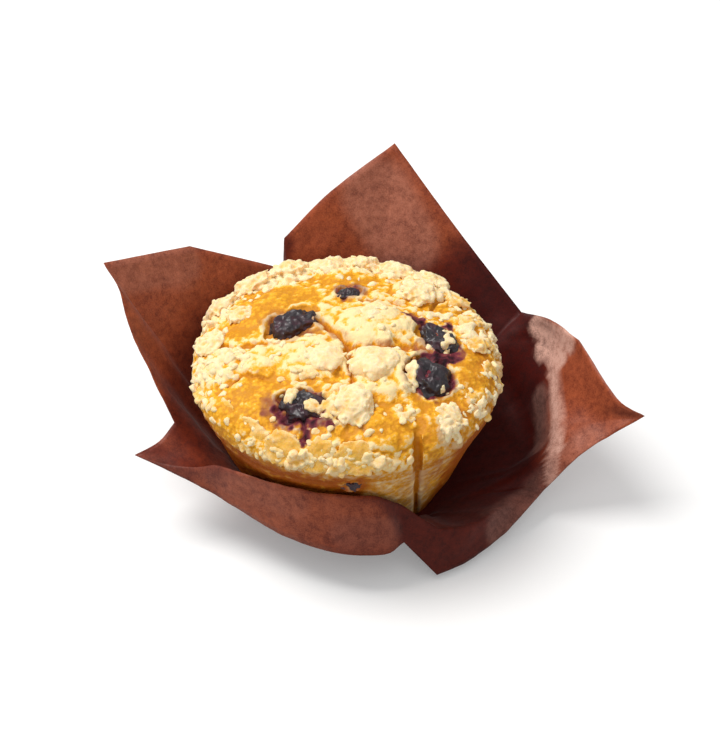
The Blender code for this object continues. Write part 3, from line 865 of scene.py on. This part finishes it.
def top_height(point, normal, lift):
    """Height of the crust: mounds, crumbly and bare stretches, splits, and pockets for the berries."""
    x, y, z = point / MM
    top = smooth_step(*MOUND_FADE, z) * smooth_step(0.0, 0.5, normal.z)
    wander_x = noise.noise(point / (3 * MM))
    wander_y = noise.noise(point / (3 * MM) + Vector((9, 0, 0)))
    x, y = x + 1.8 * wander_x, y + 1.8 * wander_y
    rise = mound_rise(x, y) * top - 0.4
    ridged = 0.25 - abs(noise.noise(point / (1.7 * MM)))
    crumbly = 0.95 * knob(point, 2.8 * MM) + 0.5 * knob(point, 1.3 * MM) + 0.8 * ridged - 0.6
    doughy = 0.6 * knob(point, 4.2 * MM) + 0.25 * knob(point, 1.6 * MM) + 0.25 * ridged - 0.3
    soft = max(1.0 - smooth_step(0.7, 1.1, reach(x, y, oval)) for oval in SOFT)
    bare = 0.22 * knob(point, 1.1 * MM) - 0.1
    cover = berry_cover(x, y)
    rise += (0.35 + 0.7 * wander_x) * (1.0 - smooth_step(1.05, 1.5, cover)) * top
    rise += mix(bare, mix(crumbly, doughy, 0.85 * soft), flouriness(x, y) * smooth_step(*FLOUR_FADE, z))
    rise -= split_depth(x, y) * smooth_step(*SPLIT_FADE, z)
    pocket = (1.0 - smooth_step(*POCKET_FADE, cover)) * top
    return mix(mix(0.5, 1.0, top) * lift + rise * MM, -POCKET_DEPTH * MM, pocket)


def berry_reach(point, berries):
    """Distance from a point to the nearest berry's middle, in berry sizes."""
    return min(((point - centre).length / size for centre, size in berries), default=9.0)


def berry_places():
    """Middle and mean half length of each berry, from its solid."""
    places = []
    for name in nodes_named("blueberry"):
        low, high = (Vector(corner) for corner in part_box(name))
        places.append(((low + high) / 2, sum(high - low) / 6))
    return places


def crust_material(settings, groups):
    """Baked crust: golden where bare, pale where floury, browned at edges, stained by juice, and darkened in
    its hollows and splits as painted shade.
    """
    surface, tree, shader = new_material("golden_crust")
    cloud = place_group(tree, groups["cloudy_tone"], (-1200, 300), Scale=420.0, Flecks=0.5, Contrast=2.3)
    flour = calculate(tree, (-980, 120), "MULTIPLY_ADD", read_value(tree, (-1200, 60), "flour"), 0.95, -0.50)
    tone = calculate(tree, (-760, 200), "ADD", cloud.outputs["Tone"], flour, clamp=True)
    # painted shade: the crust's colour darkens in its hollows
    hollow_shade = read_value(tree, (-1200, -160), "hollow_shade")
    tone = calculate(tree, (-640, 60), "SUBTRACT", tone,
                     calculate(tree, (-980, -160), "MULTIPLY", hollow_shade, 0.95), clamp=True)
    tones = place_group(tree, groups["three_tones"], (-540, 260),
                        Low=mix(Vector(settings.browned), Vector(settings.golden), 0.5),
                        Middle=settings.golden, High=settings.pale)
    tree.links.new(tone, tones.inputs["Tone"])
    browned = mix_colour(tree, (-300, 260), read_value(tree, (-540, 40), "browned"),
                         tones.outputs["Colour"], tuple(settings.browned))
    juice = read_value(tree, (-540, -120), "juice")
    thin = calculate(tree, (-300, 60), "MULTIPLY", juice, 1.5, clamp=True)
    thick = calculate(tree, (-300, -60), "MULTIPLY_ADD", juice, 3.0, -1.9, clamp=True)
    stained = mix_colour(tree, (-80, 260), thin, browned, tuple(settings.juice))
    syrup = mix_colour(tree, (100, 260), thick, stained, tuple(settings.syrup))
    tree.links.new(syrup, shader.inputs["Base Color"])
    spread_roughness(tree, shader, tone, 0.50, 0.80)
    add_grain(tree, shader, groups, 1300.0, 0.7, 0.7, 0.22 * MM)
    shader.inputs["Specular IOR Level"].default_value = 0.2
    shader.inputs["Subsurface Weight"].default_value = 0.10
    shader.inputs["Subsurface Radius"].default_value = (1.0, 0.5, 0.15)
    shader.inputs["Subsurface Scale"].default_value = 1.2 * MM
    return surface


class MUFFIN_OT_cake(bpy.types.Operator):
    """Refines the cake's solid into a baked crust with mounds, splits, pores and juice stains"""
    bl_idname = "muffin.cake"
    bl_label = "Cake"

    def fill_pockets(self, cake):
        """Lets the dough close in round the berries on top."""
        bm = joined(cake.data, *(frame["nodes"][node].data for node in nodes_named("blueberry")))
        bm.to_mesh(cake.data)
        bm.free()

    def execute(self, context):
        settings = context.scene.muffin_cake
        cake = solid_of("cake", "cake_crust")
        self.fill_pockets(cake)
        mesh = remesh(cake, settings.cell, rounds=3)
        rough = settings.lumpiness
        waves = ((11 * MM, rough), (4.2 * MM, 0.55 * rough), (1.8 * MM, 0.25 * rough))
        low, high = (Vector(corner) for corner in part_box("blueberry_side"))

        def height(point, normal):
            lift, z = billow(point, waves), (point / MM).z
            if z < SIDE_END_BY_BERRY:
                side, gap = side_height(point, lift, (low + high) / 2)
                if z < SIDE_END or gap > 0.0:
                    return side
            return top_height(point, normal, lift)

        push_out(mesh, height)
        self.paint(mesh)
        dress(mesh, crust_material(settings, shared_groups()))
        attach(cake, "root")
        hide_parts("cake")
        return {"FINISHED"}

    def paint(self, mesh):
        """Stores where the crust is floury, browned, hollow and stained; the hollows and the splits carry
        painted shade.
        """
        flour, browned, juice = [], [], []
        for vertex in mesh.vertices:
            x, y, z = vertex.co / MM
            wander = noise.noise(vertex.co / (3.5 * MM))
            fine = noise.noise(vertex.co / (1.6 * MM))
            top = smooth_step(*TINT_FADE, z)
            x, y = x + 2.0 * wander, y + 1.6 * fine
            turn = atan2(y, x)
            front = 1.0 - smooth_step(0.24, 0.42, abs(turn - GOLDEN_WINDOW))
            side = 0.25 + 0.35 * wander + 0.45 * front
            flour.append(mix(side, flouriness(x, y), top))
            band = 1.0 - smooth_step(*BROWN_FADE, z + 1.5 * wander)
            dark = 0.97 - 0.30 * smooth_step(0.0, 0.45, 0.45 * wander + 0.8 * fine) - 0.50 * front
            # painted shade: splits are coloured darker through the browned value
            split = split_depth(x, y) / DEEPEST_SPLIT if z > TINT_FADE[1] else 0.0
            rim = smooth_step(30.0, 37.0, Vector((x, y)).length)
            toasted = rim * smooth_step(0.55, 0.95, cos(turn + 0.35)) * (0.6 + wander)
            browned.append(min(max(band * dark + 0.75 * split + 0.45 * toasted, 0.0), 0.97))
            juice.append(stain(x, y) * top * (0.8 + 0.5 * fine))
        vertex_values(mesh, "flour", flour)
        vertex_values(mesh, "browned", browned)
        vertex_values(mesh, "juice", np.clip(juice, 0.0, 0.95))
        vertex_values(mesh, "hollow_shade", hollows(mesh, 0.35 * MM))


# ------------------------------ streusel

def crumb_shapes(count, seed):
    """Broken crumbs of about unit radius, knobbly with a few flat breaks, as (points, faces)."""
    pick = np.random.default_rng(seed)
    shapes = []
    for index in range(count):
        bm = bmesh.new()
        bmesh.ops.create_icosphere(bm, subdivisions=2, radius=1.0)
        offset = Vector((seed + index * 5.3, index * 2.1, 0.7))
        points = []
        for vert in bm.verts:
            way = vert.co.normalized()
            points.append(way * (1.0 + 0.55 * noise.noise(way * 1.3 + offset)
                                 + 0.40 * noise.noise(way * 2.9 + offset)))
        points = np.array(points)
        for _ in range(4):
            way = pick.normal(size=3)
            way /= np.linalg.norm(way)
            over = np.maximum(points @ way - pick.uniform(0.5, 0.8), 0.0)
            points -= 0.85 * over[:, None] * way
        faces = np.array([[vert.index for vert in face.verts] for face in bm.faces])
        shapes.append((points, faces))
        bm.free()
    return shapes


def join_crumbs(name, crumbs, shapes, pick):
    """One mesh of crumbs, each (place, normal, radius), turned at random and a little flat."""
    points, faces, start = [], [], 0
    for place, normal, radius in crumbs:
        shape_points, shape_faces = shapes[pick.integers(len(shapes))]
        turn = np.array(Euler(pick.uniform(0, 2 * pi, 3)).to_matrix())
        shape = shape_points @ (turn @ np.diag(pick.uniform(0.75, 1.25, 3))).T
        up = np.array(normal)
        points.append((shape - 0.42 * (shape @ up)[:, None] * up) * radius + np.array(place))
        faces.append(shape_faces + start)
        start += len(shape_points)
    mesh = bpy.data.meshes.new(name)
    mesh.from_pydata(np.concatenate(points).tolist(), [], np.concatenate(faces).tolist())
    mesh.update()
    return mesh


def surface_tree():
    """The crust and the berries together, for laying crumbs on."""
    skins = [bpy.data.objects[node + "_skin"].data for node in nodes_named("blueberry")]
    bm = joined(bpy.data.objects["cake_crust"].data, *skins)
    tree = BVHTree.FromBMesh(bm)
    bm.free()
    return tree


def crust_distance(x, y):
    """Distance along the crust from the top of the dome to the point over (x, y)."""
    radius = (x * x + y * y) ** 0.5
    if radius < SHOULDER[0]:
        return radius
    turn = acos(min((radius - RIM_CENTRE[0]) / RIM_ROUNDING, 1.0))
    return SHOULDER[0] + (SHOULDER_TURN - turn) * RIM_ROUNDING


def on_crust(tree, turn, along):
    """Where the surface lies at an angle and a distance from the top, with its normal."""
    (r, z), flat = crust_profile(along)
    out = Vector((cos(turn), sin(turn), 0.0))
    normal = out * flat.x + Vector((0, 0, flat.y))
    start = (out * r + Vector((0, 0, z))) * MM + normal * 8 * MM
    place, face_normal, _, _ = tree.ray_cast(start, -normal, 20 * MM)
    return place, face_normal


def streusel_material(settings, groups):
    """Butter crumbs: matt and grainy, paler on their tips and golden in their hollows as painted shade."""
    surface, tree, shader = new_material("butter_crumbs")
    cloud = place_group(tree, groups["cloudy_tone"], (-1000, 260), Scale=520.0, Flecks=0.5, Contrast=2.4)
    base = calculate(tree, (-980, 120), "MULTIPLY_ADD", cloud.outputs["Tone"], 0.6, -0.26)
    tone = calculate(tree, (-780, 200), "MULTIPLY_ADD", read_value(tree, (-1000, 20), "tone"), 0.95, base)
    tones = place_group(tree, groups["three_tones"], (-540, 260), Low=settings.toasted,
                        Middle=mix(Vector(settings.toasted), Vector(settings.butter), 0.55),
                        High=settings.butter)
    tree.links.new(tone, tones.inputs["Tone"])
    tree.links.new(tones.outputs["Colour"], shader.inputs["Base Color"])
    spread_roughness(tree, shader, cloud.outputs["Tone"], 0.62, 0.88)
    add_grain(tree, shader, groups, 1700.0, 0.5, 0.65, 0.18 * MM)
    shader.inputs["Specular IOR Level"].default_value = 0.2
    shader.inputs["Subsurface Weight"].default_value = 0.25
    shader.inputs["Subsurface Radius"].default_value = (1.0, 0.6, 0.25)
    shader.inputs["Subsurface Scale"].default_value = 1.4 * MM
    return surface


def butter_tone(mesh, full, less):
    """Stores how pale the butter dough is: palest on tips and darker in hollows as painted shade, and
    toasted by 'less'.
    """
    broad = np.array([0.72 + 0.45 * noise.noise(vertex.co / (3 * MM)) for vertex in mesh.vertices])
    # painted shade: the tone drops in the hollows between knobs
    vertex_values(mesh, "tone", np.clip(broad - less - 0.55 * hollows(mesh, full), 0.0, 1.0))


def streusel_surface(settings):
    return bpy.data.materials.get("butter_crumbs") or streusel_material(settings, shared_groups())


class MUFFIN_OT_streusel(bpy.types.Operator):
    """Breaks each streusel lump's solid up into knobbly, crumbly dough"""
    bl_idname = "muffin.streusel"
    bl_label = "Streusel lumps"

    def lump(self, node, settings, shapes, pick):
        piece = solid_of(node, node + "_lump")
        points = np.array([vertex.co for vertex in piece.data.vertices])
        middle = points.mean(axis=0)
        turn, away = atan2(middle[1], middle[0]), np.hypot(middle[0], middle[1]) / MM
        _, flat = crust_profile(crust_distance(middle[0] / MM, middle[1] / MM))
        up = np.array((cos(turn) * flat.x, sin(turn) * flat.x, flat.y))
        side = np.array((-sin(turn), cos(turn), 0.0))

        rim = smooth_step(30.0, 36.0, away)
        inner = smooth_step(28.0, 22.0, away)
        front = rim * smooth_step(0.1, -0.3, sin(turn)) * smooth_step(0.5, 0.1, cos(turn))
        right = rim * smooth_step(0.7, 0.85, cos(turn))
        back = rim * smooth_step(0.15, 0.45, sin(turn))
        share = mix(LUMP_SHARES["middle"], LUMP_SHARES["rim"], rim)
        share = mix(share, LUMP_SHARES["back rim"], back)
        share = mix(share, LUMP_SHARES["front or right rim"], max(front, right))
        sink = (0.35 + 0.45 * front + 0.15 * back) * MM
        wider = mix(mix(0.04, 0.30, rim), 0.5, front) - 0.60 * right

        height = (points - middle) @ up
        points += (wider * ((points - middle) @ side))[:, None] * side
        points -= ((1.0 - share) * (height - height.min()) + sink)[:, None] * up
        piece.data.vertices.foreach_set("co", points.astype(np.float32).ravel())
        size = np.ptp(points @ side) / 2 / MM
        knobs = []
        for _ in range(int((16 + size * 6) * (1.0 - 0.7 * max(inner, front)))):
            place = points[pick.integers(len(points))]
            knobs.append((place - 0.25 * MM * up, up, pick.uniform(0.4, 1.15) * MM))
        bm = joined(piece.data, join_crumbs(node + "_knobs", knobs, shapes, pick))
        bm.to_mesh(piece.data)
        bm.free()

        mesh = remesh(piece, settings.cell)
        rough = 1.0 - 0.45 * max(inner, front)
        waves = ((2.6 * MM, 0.45 * MM), (1.1 * MM, 0.22 * rough * MM))
        aside = Vector((5, 0, 0))
        push_out(mesh, lambda point, _: billow(point, waves)
                 + 0.55 * rough * MM * (0.25 - abs(noise.noise(point / (1.5 * MM) + aside))))
        butter_tone(mesh, 0.32 * MM, 0.78 * front + 0.75 * right + (0.35 if node == TOASTED_LUMP else 0.0))
        dress(mesh, streusel_surface(settings))
        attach(piece, "root")
        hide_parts(node)

    def execute(self, context):
        settings = context.scene.muffin_streusel
        pick = np.random.default_rng(settings.seed)
        shapes = crumb_shapes(10, 3)
        for node in nodes_named("streusel"):
            self.lump(node, settings, shapes, pick)
        return {"FINISHED"}


class MUFFIN_OT_crumbs(bpy.types.Operator):
    """Scatters loose streusel crumbs over the crust, densest round its rim and its lumps"""
    bl_idname = "muffin.crumbs"
    bl_label = "Loose crumbs"

    def lay(self, tree, pick, x, y, radius, sink):
        """One crumb lying at (x, y) on whatever is there."""
        turn, along = atan2(y, x), crust_distance(x, y)
        place, normal = on_crust(tree, turn, along)
        if place is None or normal.z < -0.2:
            return []
        pick.random()  # a spare draw, which keeps every later crumb in its place
        return [(place + normal * (radius * sink) * MM, normal, radius * MM)]

    def bands(self, tree, pick, berries):
        crumbs = []
        for (first, last), (near, far), count, (small, large) in BANDS:
            for _ in range(count):
                turn, along = radians(pick.uniform(first, last)), pick.uniform(near, far)
                radius = small * (large / small) ** pick.random()
                place, normal = on_crust(tree, turn, along)
                if place is None:
                    continue
                x, y, _ = place / MM
                cluster = noise.noise(Vector((x, y, along)) / 4.5) + 0.75 * (flouriness(x, y) - 0.5)
                if cluster < pick.uniform(-0.25, 0.35) or berry_reach(place, berries) < 1.2:
                    continue
                lift = radius * pick.uniform(-0.45, 0.05) * MM
                pick.random()  # a spare draw, as in lay
                crumbs.append((place + normal * lift, normal, radius * MM))
        return crumbs

    def patches(self, tree, pick):
        crumbs = []
        for x, y, half_x, half_y, count, large in PATCHES:
            for _ in range(count):
                turn, away = pick.uniform(0, 2 * pi), pick.random() ** 0.6
                radius = 0.7 * (large / 0.7) ** pick.random()
                crumbs += self.lay(tree, pick, x + half_x * away * cos(turn),
                                   y + half_y * away * sin(turn), radius, pick.uniform(-0.35, 0.15))
        return crumbs

    def beside_lumps(self, tree, pick):
        crumbs = []
        for node in nodes_named("streusel"):
            low, high = (Vector(corner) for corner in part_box(node))
            middle, half = (low + high) / 2 / MM, (high - low).length / 2 / MM
            for _ in range(int(3 + 2 * half)):
                x, y = middle.x + pick.normal(0.0, 0.6 * half), middle.y + pick.normal(0.0, 0.6 * half)
                if (x * x + y * y) ** 0.5 < RIM_CENTRE[0] + RIM_ROUNDING:
                    crumbs += self.lay(tree, pick, x, y, pick.uniform(0.6, 1.4), pick.uniform(-0.4, 0.1))
        return crumbs

    def execute(self, context):
        settings = context.scene.muffin_streusel
        pick = np.random.default_rng(settings.seed + 1)
        tree, berries = surface_tree(), berry_places()
        shapes = crumb_shapes(16, 40)
        heaps = {
            "crumbs_in_bands": self.bands(tree, pick, berries),
            "crumbs_in_patches": self.patches(tree, pick),
            "crumbs_by_lumps": self.beside_lumps(tree, pick),
        }
        for name, crumbs in heaps.items():
            piece = piece_from_mesh(name, join_crumbs(name, crumbs, shapes, pick))
            mesh = remesh(piece, settings.crumb_cell, rounds=1)
            push_out(mesh, lambda point, _: billow(point, CRUMB_WAVES))
            turns = [atan2(vertex.co.y, vertex.co.x) for vertex in mesh.vertices]
            toasted = np.array([0.5 * smooth_step(0.5, 0.9, cos(turn - TOASTED_SIDE)) for turn in turns])
            butter_tone(mesh, 0.28 * MM, toasted)
            dress(mesh, streusel_surface(settings))
            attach(piece, "root")
        return {"FINISHED"}


# ------------------------------ blueberries

def berry_material(settings, groups):
    """Baked blueberry skin: nearly black, with a dusty bloom and burst, juicy patches."""
    surface, tree, shader = new_material("baked_blueberry")
    cloud = place_group(tree, groups["cloudy_tone"], (-1000, 260), Scale=260.0, Flecks=0.4, Contrast=2.6)
    tones = place_group(tree, groups["three_tones"], (-700, 260), Low=settings.skin,
                        Middle=mix(Vector(settings.skin), Vector(settings.bloom), 0.35),
                        High=settings.bloom)
    tree.links.new(cloud.outputs["Tone"], tones.inputs["Tone"])
    burst = place_group(tree, groups["cloudy_tone"], (-1000, -40), Scale=140.0, Flecks=0.2, Contrast=4.0)
    patch = calculate(tree, (-780, -40), "SUBTRACT", burst.outputs["Tone"], 0.45, clamp=True)
    colour = mix_colour(tree, (-440, 260), patch, tones.outputs["Colour"], tuple(settings.flesh))
    tree.links.new(colour, shader.inputs["Base Color"])
    spread_roughness(tree, shader, cloud.outputs["Tone"], 0.32, 0.66)
    add_grain(tree, shader, groups, 640.0, 0.3, 0.35, 0.2 * MM)
    shader.inputs["Coat Weight"].default_value = 0.24
    shader.inputs["Coat Roughness"].default_value = 0.22
    return surface


class MUFFIN_OT_blueberries(bpy.types.Operator):
    """Wrinkles each blueberry's solid as baking does, and gives it its skin"""
    bl_idname = "muffin.blueberries"
    bl_label = "Blueberries"

    def execute(self, context):
        settings = context.scene.muffin_berry
        skin = berry_material(settings, shared_groups())
        for index, node in enumerate(nodes_named("blueberry")):
            berry = solid_of(node, node + "_skin")
            rounder = berry.modifiers.new("rounder", "SUBSURF")
            rounder.levels = rounder.render_levels = 3
            mesh = settle(berry)
            low, high = (Vector(corner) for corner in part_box(node))
            middle, size = (low + high) / 2, (high - low).length / 3.4
            offset = Vector((index * 7.1, 0.0, index * 3.3))
            depth = settings.wrinkle * size / (6 * MM)

            def height(point, normal):
                local = (point - middle) / size
                folds = abs(noise.noise(local * 1.7 + offset)) + 0.5 * abs(noise.noise(local * 3.4 + offset))
                lobes = 1.6 * noise.noise(local * 1.1 + offset)
                return depth * (0.1 + lobes - 1.9 * folds + 0.15 * noise.noise(local * 7.0 + offset))

            push_out(mesh, height)
            dress(mesh, skin)
            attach(berry, "root")
            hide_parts(node)
        return {"FINISHED"}


# ------------------------------ stage

def floor_material(settings):
    """Plain pale floor, very slightly clouded, that throws a little less light back than it shows."""
    surface, tree, shader = new_material("pale_floor")
    cloud = place_group(tree, shared_groups()["cloudy_tone"], (-700, 100), Scale=6.0, Flecks=0.1,
                        Contrast=0.3)
    pale = tuple(settings.floor)
    tree.links.new(mix_colour(tree, (-400, 100), cloud.outputs["Tone"],
                              tuple(0.985 * value for value in pale[:3]) + (1.0,), pale),
                   shader.inputs["Base Color"])
    shader.inputs["Roughness"].default_value = 0.9
    shader.inputs["Emission Color"].default_value = (1.0, 1.0, 1.0, 1.0)
    shader.inputs["Emission Strength"].default_value = 0.22
    dull = add_node(tree, "ShaderNodeBsdfDiffuse", (0, -400), in_Color=(0.55, 0.55, 0.55, 1.0))
    seen = add_node(tree, "ShaderNodeLightPath", (0, 400))
    blend = add_node(tree, "ShaderNodeMixShader", (300, 0))
    tree.links.new(seen.outputs["Is Camera Ray"], blend.inputs["Fac"])
    tree.links.new(dull.outputs["BSDF"], blend.inputs[1])
    tree.links.new(shader.outputs["BSDF"], blend.inputs[2])
    tree.links.new(blend.outputs["Shader"], tree.nodes["Material Output"].inputs["Surface"])
    return surface


class MUFFIN_OT_stage(bpy.types.Operator):
    """Lays the floor and sets the light and the camera"""
    bl_idname = "muffin.stage"
    bl_label = "Floor, light and camera"

    def lamp(self, name, place, aim, size, power, colour):
        data = bpy.data.lights.new(name, "AREA")
        data.shape = "DISK"
        data.size = size
        data.energy = power
        data.color = colour
        lamp = bpy.data.objects.new(name, data)
        lamp.location = place
        lamp.rotation_euler = (aim - place).to_track_quat("-Z", "Y").to_euler()
        bpy.context.scene.collection.objects.link(lamp)

    def execute(self, context):
        scene = context.scene
        settings = scene.muffin_stage
        low, high = CAD_BOX
        middle = (low + high) / 2
        bpy.ops.mesh.primitive_plane_add(size=FLOOR_WIDTH, location=(0, 0, -FLOOR_DROP))
        floor = context.active_object
        floor.name = "floor"
        floor.data.materials.append(floor_material(settings))
        self.lamp("window_light", middle + Vector(WINDOW_PLACE), middle, WINDOW_WIDTH,
                  settings.key_power, (1.0, 0.985, 0.96))
        self.lamp("front_fill", middle + Vector(FRONT_PLACE), middle, FRONT_WIDTH,
                  settings.fill_power, (1.0, 1.0, 1.0))
        world = bpy.data.worlds.new("studio")
        world.use_nodes = True
        sky = world.node_tree.nodes["Background"]
        sky.inputs["Color"].default_value = (1.0, 1.0, 1.0, 1.0)
        sky.inputs["Strength"].default_value = settings.room_light
        scene.world = world
        scene.view_settings.view_transform = "Standard"
        data = bpy.data.cameras.new("camera")
        data.lens = settings.lens
        data.sensor_width = 36.0
        camera = bpy.data.objects.new("camera", data)
        back = Vector((0.0, -cos(settings.elevation), sin(settings.elevation)))
        aim = middle + Vector(CAMERA_AIM) * MM
        camera.location = aim + back * settings.distance
        camera.rotation_euler = (pi / 2 - settings.elevation, 0.0, 0.0)
        scene.collection.objects.link(camera)
        scene.camera = camera
        return {"FINISHED"}


class MUFFIN_PT_panel(bpy.types.Panel):
    bl_label = "Muffin"
    bl_idname = "MUFFIN_PT_panel"
    bl_space_type = "VIEW_3D"
    bl_region_type = "UI"
    bl_category = "Muffin"

    def draw(self, context):
        for settings in ("muffin_paper", "muffin_cake", "muffin_streusel", "muffin_berry", "muffin_stage"):
            box = self.layout.box()
            group = getattr(context.scene, settings)
            for name in group.__annotations__:
                box.prop(group, name)
        for operator in OPERATORS:
            self.layout.operator(operator.bl_idname)


SETTINGS = {
    "muffin_paper": PaperSettings, "muffin_cake": CakeSettings, "muffin_streusel": StreuselSettings,
    "muffin_berry": BerrySettings, "muffin_stage": StageSettings,
}
OPERATORS = (MUFFIN_OT_cake, MUFFIN_OT_wrapper, MUFFIN_OT_blueberries, MUFFIN_OT_streusel,
             MUFFIN_OT_crumbs, MUFFIN_OT_stage)


def register():
    for name, kind in SETTINGS.items():
        bpy.utils.register_class(kind)
        setattr(bpy.types.Scene, name, PointerProperty(type=kind))
    for kind in (*OPERATORS, MUFFIN_PT_panel):
        bpy.utils.register_class(kind)


def unregister():
    for kind in (MUFFIN_PT_panel, *reversed(OPERATORS)):
        bpy.utils.unregister_class(kind)
    for name, kind in SETTINGS.items():
        delattr(bpy.types.Scene, name)
        bpy.utils.unregister_class(kind)


def main():
    register()
    bpy.ops.muffin.cake()
    bpy.ops.muffin.wrapper()
    bpy.ops.muffin.blueberries()
    bpy.ops.muffin.streusel()
    bpy.ops.muffin.crumbs()
    bpy.ops.muffin.stage()


if __name__ == "__main__":
    main()
